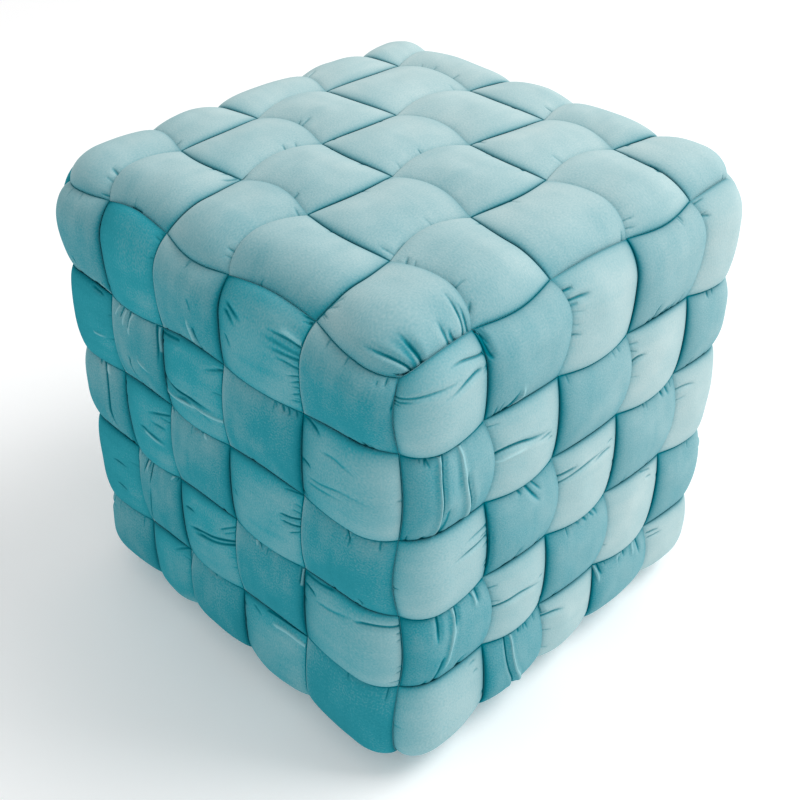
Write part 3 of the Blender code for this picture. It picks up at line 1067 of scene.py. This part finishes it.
# %% [markdown]
# ## The filled block
#
# Inside the weave sits the block of filling that gives the pouf its shape. It never shows from
# above, but its base does when the pouf is turned over: a flat pad of plain dark cloth, a little
# rounded at its border, with a seam just inside it. We start from a cube, cut it into a grid,
# press the grid onto the same rounded form as the straps, and pull the base down to the floor.

# %% The rounded block
BLOCK_LINES = (0, 10, 20, 34, 48, 62, 66, 72, 76, 110, 160)   # lines of the grid, mm in from a face
BASE_LINE = BLOCK_LINES.index(62)   # where the base pad begins
SEAM_LINE = BLOCK_LINES.index(72)   # where its seam runs
PAD_ROUNDING = 4 * MM               # how far the border of the pad is drawn up from the floor
SEAM_DEPTH = 1.5 * MM               # and its seam

bpy.ops.object.select_all(action="DESELECT")
lines = len(BLOCK_LINES)
bpy.ops.mesh.primitive_cube_add(size=2 * lines)
block = bpy.context.object
block.name = "base_cloth_block"
bpy.ops.object.mode_set(mode="EDIT")
bpy.ops.mesh.select_all(action="SELECT")
bpy.ops.mesh.subdivide(number_cuts=2 * lines - 1)
shape = bmesh.from_edit_mesh(block.data)
for face in shape.faces:
    reach = max(abs(part) for part in face.calc_center_median().xy)
    face.select_set(face.normal.z < -0.5 and reach < lines - BASE_LINE)
grid_place = {vertex: vertex.co.copy() for vertex in shape.verts}
half_size = Vector((WIDTH, DEPTH, HEIGHT)) / 2
for vertex in shape.verts:
    flat = Vector((0, 0, UNDERSIDE + HEIGHT / 2))
    for axis, part in enumerate(grid_place[vertex]):
        if round(part):
            inset = BLOCK_LINES[lines - round(abs(part))] * MM
            flat[axis] += math.copysign(half_size[axis] - inset, part)
    vertex.co = Vector(rounded(np.array([flat]), np.array([-SINK - BODY_GAP]))[0])
bmesh.update_edit_mesh(block.data)
print("faces of the block:", len(shape.faces))

# %% [markdown]
# The faces of the underside that lie inside the turned ends are still selected. They are extruded,
# and the new ones are laid flat on the floor, with the border and the seam drawn up a little.

# %% The base pad
bpy.ops.mesh.extrude_region_move()
shape = bmesh.from_edit_mesh(block.data)
border = half_size.x - BLOCK_LINES[BASE_LINE] * MM
seam = half_size.x - BLOCK_LINES[SEAM_LINE] * MM
for vertex in [vertex for vertex in shape.verts if vertex.select]:
    out = max(abs(vertex.co.x), abs(vertex.co.y))
    vertex.co.z = 0
    if out > border - MM:
        vertex.co.z = PAD_ROUNDING
    elif abs(out - seam) < MM:
        vertex.co.z = SEAM_DEPTH
bmesh.update_edit_mesh(block.data)
bpy.ops.mesh.select_all(action="SELECT")
bpy.ops.mesh.normals_make_consistent(inside=False)
bpy.ops.object.mode_set(mode="OBJECT")
block.data.shade_smooth()
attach(block, "root")
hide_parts("filled_body")
print("block, mm:", [round(part / MM) for part in block.dimensions])

# %% [markdown]
# ## Shader sums in plain Python
#
# Blender's shader editor does its sums with Math nodes. A small class lets us write the same
# sums as Python expressions: it wraps one output socket, and every operator on it adds a node.
# Colours would turn grey in a Math node, so they go through a Mix node, which has a helper.

# %% A socket that can be added and multiplied
class Wire:
    """One output socket of a material; sums on wires add Math nodes to its node tree."""

    def __init__(self, socket):
        self.socket = socket

    @staticmethod
    def node(tree, kind, settings, inputs, output=0):
        """Add a node, with its settings first and then the values or wires of its sockets."""
        made = tree.nodes.new(kind)
        for name, setting in settings.items():
            setattr(made, name, setting)
        for name, value in inputs.items():
            if isinstance(value, Wire):
                tree.links.new(value.socket, made.inputs[name])
            else:
                made.inputs[name].default_value = value
        return Wire(made.outputs[output])

    def math(self, operation, first, second=0.0, clamp=False):
        settings = {"operation": operation, "use_clamp": clamp}
        return Wire.node(self.socket.id_data, "ShaderNodeMath", settings, {0: first, 1: second})

    def __add__(self, other):
        return self.math("ADD", self, other)

    def __sub__(self, other):
        return self.math("SUBTRACT", self, other)

    def __rsub__(self, other):
        return self.math("SUBTRACT", other, self)

    def __mul__(self, other):
        return self.math("MULTIPLY", self, other)

    __radd__ = __add__
    __rmul__ = __mul__

    def clamped(self):
        return self.math("ADD", self, 0.0, clamp=True)


def mixed(tree, share, first, second):
    """A colour between two others; 6 and 7 are the Mix node's colour sockets, 2 is its result."""
    return Wire.node(tree, "ShaderNodeMix", {"data_type": "RGBA"},
                     {"Factor": share, 6: first, 7: second}, 2)


print("reflected forms:", [name for name in vars(Wire) if name.startswith("__r")])

# %% [markdown]
# ## Velvet
#
# Velvet is a short upright pile. Where the pile leans towards the light it looks pale and milky,
# and where it stands or leans away it shows its deep, saturated colour. That is why the same
# cloth reads so differently on straps that run in different directions. The finish paints that
# light and sheen in: it mixes a deep teal and a pale aqua by one value for each point, set by the
# way the point faces and where it lies, and breaks that up with soft mottling, with faint strokes
# along the strap and with the grain of the pile.
#
# Painted shade turns the colour to a dark teal where that value falls below 0, at the bottom of a
# fold, on the line between two straps and along shaded cell edges. A painted highlight, a thin
# aqua glint, lies on the lips and the ridges of the folds and on strap edges that turn away from a
# fixed direction. Velvet has no gloss, so the shader's specular level is 0, and a faint teal sheen
# on its own sockets softens what light grazes.

# %% The colours and amounts of the velvet
DEEP = (0.034, 0.335, 0.405, 1.0)          # the velvet's deep colour, with no painted light, on the rings
DEEP_UPRIGHT = (0.030, 0.295, 0.36, 1.0)   # and a darker copy, painted shade, on the long and the cross straps
PALE_SHEEN = (0.52, 0.66, 0.664, 1.0)            # painted light and sheen: the milky colour of lit pile that lies over
PAINTED_SHADE = (0.0, 0.155, 0.20, 1.0)           # painted shade: the dark teal of creases, seams and shaded edges
GLINT = (0.55, 0.95, 1.0, 1.0)             # painted highlight on lips, ridges and rims
MOTTLE, STROKE, GRAIN = 0.36, 0.20, 0.45   # how much each of them changes the pile's value
MOTTLE_SCALE, GRAIN_SCALE = 28.0, 650.0    # of their noise, to a metre
STROKE_SCALE = (90, 14, 1)                 # across and along the strap
FOLD_SHADE = 0.45             # painted shade: how much a full fold lowers the pile's value
BELOW_ZERO_SHADE = 1.6             # how fast a value below 0 turns to painted shade
LINE_SHADE, VALLEY_SHADE = 0.95, 0.50   # how far the lines between straps and the folds turn to painted shade
LINE_SHARP = 60.0             # the line between two straps fades over 1/60 of a cell
RIM_GLINT, RIM_SHARP = 0.24, 30.0   # painted highlight on an edge that turns away, over 1/30 of a cell
LIP_GLINT, LIP_MOST = 0.65, 0.26    # painted highlight on a fold's lips and ridges, and the most of it
FOLD_DEPTH = 1.0              # depth of a full fold's sharp core, in mm
GRAIN_DEPTH = 0.2             # depth of the grain, in mm
ROUGH, LESS_ROUGH = 0.86, 0.12      # roughness of deep pile, and how much less where it is pale
ALL_OVER = {                  # the same all over a strap, so set on the shader's own sockets
    "Specular IOR Level": 0.0,
    "Sheen Weight": 0.12,
    "Sheen Roughness": 0.25,
    "Sheen Tint": (0.35, 0.85, 1.0, 1.0),
}
print("velvet, deep and pale:", DEEP[:3], PALE_SHEEN[:3])

# %% The velvet finish
def sharp_folds(tree):
    """1 on the bottom line of a deep fold, less on a shallow one, below 0 on ridges and lips."""
    def attribute(name):
        stored = Wire.node(tree, "ShaderNodeAttribute", {"attribute_name": name}, {}, "Vector")
        split = Wire.node(tree, "ShaderNodeSeparateXYZ", {}, {0: stored})
        return [Wire(split.socket.node.outputs[channel]) for channel in range(CHANNELS)]

    total = 0.0
    for core, depth in zip(attribute("fold"), attribute("depth")):
        square = core * core
        valley = square.math("EXPONENT", square * -1.0)
        lips = square * square.math("EXPONENT", square * -0.5) * LIPS
        total = (valley - lips) * depth + total
    return total


def velvet(name, deep):
    """A velvet material, fed by the mesh's UV map and by the values stored on its points."""
    material = bpy.data.materials.new(name)
    material.use_nodes = True
    tree = material.node_tree
    shader = tree.nodes["Principled BSDF"]

    def add(kind, settings, inputs, output=0):
        return Wire.node(tree, kind, settings, inputs, output)

    def noise(vector, scale, detail):
        return add("ShaderNodeTexNoise", {}, {"Vector": vector, "Scale": scale, "Detail": detail})

    pile_and_light, seam, drawn, away, dusk = (
        add("ShaderNodeAttribute", {"attribute_name": title}, {}, "Fac")
        for title in ("pile_and_light", "seam", "drawn", "away", "shade"))
    run = add("ShaderNodeUVMap", {"uv_map": "run"}, {})
    stroked = add("ShaderNodeMapping", {}, {"Vector": run, "Scale": STROKE_SCALE})
    mottle, grain = noise(run, MOTTLE_SCALE, 3.0), noise(run, GRAIN_SCALE, 2.0)
    stroke = noise(stroked, 1.0, 2.0)
    crease = sharp_folds(tree)
    # painted shade along fold bottoms and the lines between straps, painted highlight on lips and
    # rims
    valley = crease.math("MAXIMUM", crease, 0.0)
    lip = crease.math("MINIMUM", (crease * -LIP_GLINT).clamped(), LIP_MOST)
    line = seam.math("EXPONENT", seam * -LINE_SHARP) * drawn * (1.0 - away)
    rim = seam.math("EXPONENT", seam * -RIM_SHARP) * away * RIM_GLINT

    # the pile value, which holds painted light and sheen, broken up by mottle, strokes and grain
    lean = pile_and_light + (mottle - 0.5) * MOTTLE + (stroke - 0.5) * STROKE + (grain - 0.5) * GRAIN
    lean = lean - valley * FOLD_SHADE
    # painted shade: values below 0, the lines between straps, fold bottoms and shaded edges
    shade_below_zero = lean.math("MAXIMUM", lean * -BELOW_ZERO_SHADE, 0.0)
    shade = (line * LINE_SHADE + valley * VALLEY_SHADE + dusk + shade_below_zero).clamped()
    colour = mixed(tree, lean.clamped(), deep, PALE_SHEEN)
    colour = mixed(tree, shade, colour, PAINTED_SHADE)
    colour = mixed(tree, (lip + rim).clamped(), colour, GLINT)
    height = grain * GRAIN_DEPTH - crease * FOLD_DEPTH
    bump = add("ShaderNodeBump", {}, {"Strength": 1.0, "Distance": MM, "Height": height})
    tree.links.new(colour.socket, shader.inputs["Base Color"])
    tree.links.new((ROUGH - lean.clamped() * LESS_ROUGH).socket, shader.inputs["Roughness"])
    tree.links.new(bump.socket, shader.inputs["Normal"])
    for title, value in ALL_OVER.items():
        shader.inputs[title].default_value = value
    return material


print("values read from the points:", ("pile_and_light", "away", "seam", "drawn", "shade", "fold", "depth"))

# %% [markdown]
# Each point's pile value comes from the kind of strap, from the way that the point faces and from
# its place on the pouf, so it holds painted light and sheen. Pile that faces up is painted pale,
# as if lit, pile that faces a fixed direction squarely is painted deep, and the rings are paler
# than the upright straps beside them. Near a cell's edges and in its folds the value carries
# painted shade, and at some edges painted sheen.

# %% Laying the pile and its painted light
SHEEN_WAY = (-0.57, -0.57, 0.59)   # painted sheen: the colour is deepest where a surface faces this fixed way squarely
# Kind of strap: its own paleness, how much paler facing right, back and up, how much deeper
# facing the fixed way squarely, and how much paler per metre to the right, back and top; all but
# the first are painted light and sheen
PILE_AND_LIGHT = {
    "long": (0.39, (-0.03, -0.06, 0.30), 0.40, (0.74, 0.21, 0.53)),
    "cross": (0.32, (0.08, -0.25, 0.44), 0.27, (0.69, 0.50, 0.25)),
    "ring": (0.41, (-0.04, -0.38, 0.24), 0.42, (1.00, -0.80, -0.09)),
}
# How much paler along the low and the high side and the start and the end of every cell:
# painted shade where below 0, painted sheen where above 0
EDGE_SHADE_SHEEN = {
    "long": (-0.29, -0.26, -0.08, -0.15),
    "cross": (-0.37, 0.13, -0.07, -0.19),
    "ring": (-0.34, -0.36, -0.22, -0.38),
}
EDGE_WIDTH = 0.045            # that fades over this many cells
PALE_UP_TO = 0.08             # metres to the right up to which the painted light grows paler
EDGE_SHEEN = 0.7               # how much painted sheen the pale edges of a cell get
LOOKS_AWAY = 0.36             # from this much towards the fixed way down, a surface turns away, for the painted rim glint
PRESSED, RAISED = 0.08, 0.04  # painted shade for every mm that a fold sinks, painted highlight for every mm that it rises
DEEPEST_PILE, PALEST_PILE = -0.4, 0.9   # the least and the greatest value


def values_of(mesh_data, title):
    """The values stored on a mesh's points under a title."""
    values = np.empty(len(mesh_data.vertices))
    mesh_data.attributes[title].data.foreach_get("value", values)
    return values


def lay_pile_and_light(piece, kind):
    """Give every point of a strap its pile value, painted light and sheen, and how far it turns
    away from the fixed way.
    """
    mesh_data = piece.data
    place, facing = np.empty((2, len(mesh_data.vertices) * 3))
    mesh_data.vertices.foreach_get("co", place)
    mesh_data.vertex_normals.foreach_get("vector", facing)
    place, facing = place.reshape(-1, 3), facing.reshape(-1, 3)
    paleness, by_facing, sheen_deep, by_place = PILE_AND_LIGHT[kind]
    square_on = facing @ np.array(SHEEN_WAY)
    facing[:, 1] = np.minimum(facing[:, 1], 1 - 2 * facing[:, 1])   # the back is laid as the front
    # painted light and sheen: paler or darker by the way a point faces and by its place
    place[:, 0] = np.minimum(place[:, 0], PALE_UP_TO)
    pile_and_light = paleness + facing @ np.array(by_facing) + place @ np.array(by_place)
    pile_and_light -= sheen_deep * np.maximum(square_on, 0) ** 2
    # painted shade and sheen near the cell's edges
    for title, change in zip(EDGE_NAMES, EDGE_SHADE_SHEEN[kind]):
        pile_and_light += change * np.exp(-values_of(mesh_data, title) / EDGE_WIDTH)
    pile_and_light += EDGE_SHEEN * values_of(mesh_data, "pale")
    away = np.clip(1 - square_on / LOOKS_AWAY, 0, 1)
    press = values_of(mesh_data, "press")
    # painted shade in sunk folds, painted highlight on raised ones
    pile_and_light += np.where(press > 0, RAISED, PRESSED) * press
    pile_and_light = np.clip(pile_and_light, DEEPEST_PILE, PALEST_PILE)
    for title, value in (("pile_and_light", pile_and_light), ("away", away)):
        stored = mesh_data.attributes.new(title, "FLOAT", "POINT")
        stored.data.foreach_set("value", value.astype(np.float32))


for (kind, index), piece in straps.items():
    lay_pile_and_light(piece, kind)
    deep = DEEP if kind == "ring" else DEEP_UPRIGHT
    piece.data.materials.append(velvet(f"velvet_{kind}_{index}", deep))
print("velvet finishes:", len(straps))

# %% [markdown]
# ## The base cloth
#
# The base wears a tough, plain cloth. Two wave patterns at right angles make its weave, with the
# threads about a millimetre apart, and a soft noise keeps the colour from looking printed.

# %% The woven base cloth
CLOTH_DARK, CLOTH_PALE = (0.012, 0.045, 0.055, 1), (0.035, 0.10, 0.12, 1)
THREAD = {"Scale": 320.0, "Distortion": 0.6, "Detail": 1.0}   # a wave is 0.31 m / Scale long
DUST_SCALE = 60.0
WEAVE_SHARE, DUST_SHARE = 0.6, 0.4    # of the difference between the two colours
THREAD_DEPTH = 0.4 * MM
CLOTH_ROUGH, LESS_ON_THREADS = 0.95, 0.1


def base_cloth():
    """The material of the base: threads at right angles, seen in colour and in relief."""
    material = bpy.data.materials.new("base_cloth")
    material.use_nodes = True
    tree = material.node_tree
    shader = tree.nodes["Principled BSDF"]
    place = Wire.node(tree, "ShaderNodeTexCoord", {}, {}, "Object")
    threads = [
        Wire.node(tree, "ShaderNodeTexWave", {"bands_direction": way},
                  {"Vector": place, **THREAD}, "Fac")
        for way in ("X", "Y")
    ]
    dust = Wire.node(tree, "ShaderNodeTexNoise", {}, {"Vector": place, "Scale": DUST_SCALE})
    weave = threads[0] * threads[1]
    share = (weave * WEAVE_SHARE + dust * DUST_SHARE).clamped()
    colour = mixed(tree, share, CLOTH_DARK, CLOTH_PALE)
    bump = Wire.node(tree, "ShaderNodeBump", {},
                     {"Strength": 0.5, "Distance": THREAD_DEPTH, "Height": weave})
    tree.links.new(colour.socket, shader.inputs["Base Color"])
    tree.links.new((CLOTH_ROUGH - weave * LESS_ON_THREADS).socket, shader.inputs["Roughness"])
    tree.links.new(bump.socket, shader.inputs["Normal"])
    return material


block.data.materials.append(base_cloth())
print("base cloth on:", block.name)

# %% [markdown]
# ## Floor, lights and camera
#
# The pouf stands on a plain pale floor in pale surroundings, which give most of the light. One
# large soft light stands high on the right and to the front, so that the left face is the darkest
# of the three that show. The floor glows a little, which keeps it nearly white round the pouf.

# %% The floor and the light
FLOOR_SIZE = 12.0                     # in metres
FLOOR_TONE, FLOOR_GLOW = 0.95, 0.14
SURROUNDINGS = 0.66                   # strength of the white world
LIGHT_PLACE, LIGHT_SIZE, LIGHT_POWER = (1.9, -1.7, 3.4), 2.2, 101   # metres and watts
LIGHT_AIM = (0, 0, 0.2)               # near the middle of the pouf

bpy.ops.object.select_all(action="DESELECT")
bpy.ops.mesh.primitive_plane_add(size=FLOOR_SIZE, location=(0, 0, 0))
floor = bpy.context.object
floor.name = "studio_floor"
floor_paint = bpy.data.materials.new("floor_paint")
floor_paint.use_nodes = True
floor_shader = floor_paint.node_tree.nodes["Principled BSDF"]
floor_shader.inputs["Base Color"].default_value = (FLOOR_TONE, FLOOR_TONE, FLOOR_TONE, 1)
floor_shader.inputs["Roughness"].default_value = 0.9
floor_shader.inputs["Emission Color"].default_value = (1, 1, 1, 1)
floor_shader.inputs["Emission Strength"].default_value = FLOOR_GLOW
floor.data.materials.append(floor_paint)

world = bpy.data.worlds.new("studio")
bpy.context.scene.world = world
world.use_nodes = True
world.node_tree.nodes["Background"].inputs["Color"].default_value = (1, 1, 1, 1)
world.node_tree.nodes["Background"].inputs["Strength"].default_value = SURROUNDINGS

light_data = bpy.data.lights.new("key", "AREA")
light_data.size, light_data.energy = LIGHT_SIZE, LIGHT_POWER
light = bpy.data.objects.new("key", light_data)
bpy.context.scene.collection.objects.link(light)
light.location = LIGHT_PLACE
light_way = Vector(LIGHT_AIM) - Vector(LIGHT_PLACE)
light.rotation_euler = light_way.to_track_quat("-Z", "Y").to_euler()
print("light, metres from the pouf:", round(light_way.length, 2))

# %% [markdown]
# The camera looks down on the edge between the front and the left face. Its place, its turn and
# its lens were worked out from where the crossings of the weave lie in the photograph. The
# Standard view keeps the colours as they are mixed.

# %% The camera
CAMERA_PLACE = (-0.6341, -0.6359, 0.8523)    # in metres
CAMERA_TURN = (53.547, -0.053, -44.91)       # in degrees
CAMERA_LENS = 53.68                          # in mm

camera = bpy.data.objects.new("camera", bpy.data.cameras.new("camera"))
bpy.context.scene.collection.objects.link(camera)
camera.location = CAMERA_PLACE
camera.rotation_euler = [math.radians(angle) for angle in CAMERA_TURN]
camera.data.lens = CAMERA_LENS
bpy.context.scene.camera = camera
bpy.context.scene.view_settings.view_transform = "Standard"
print("lens, mm:", camera.data.lens)

# %% [markdown]
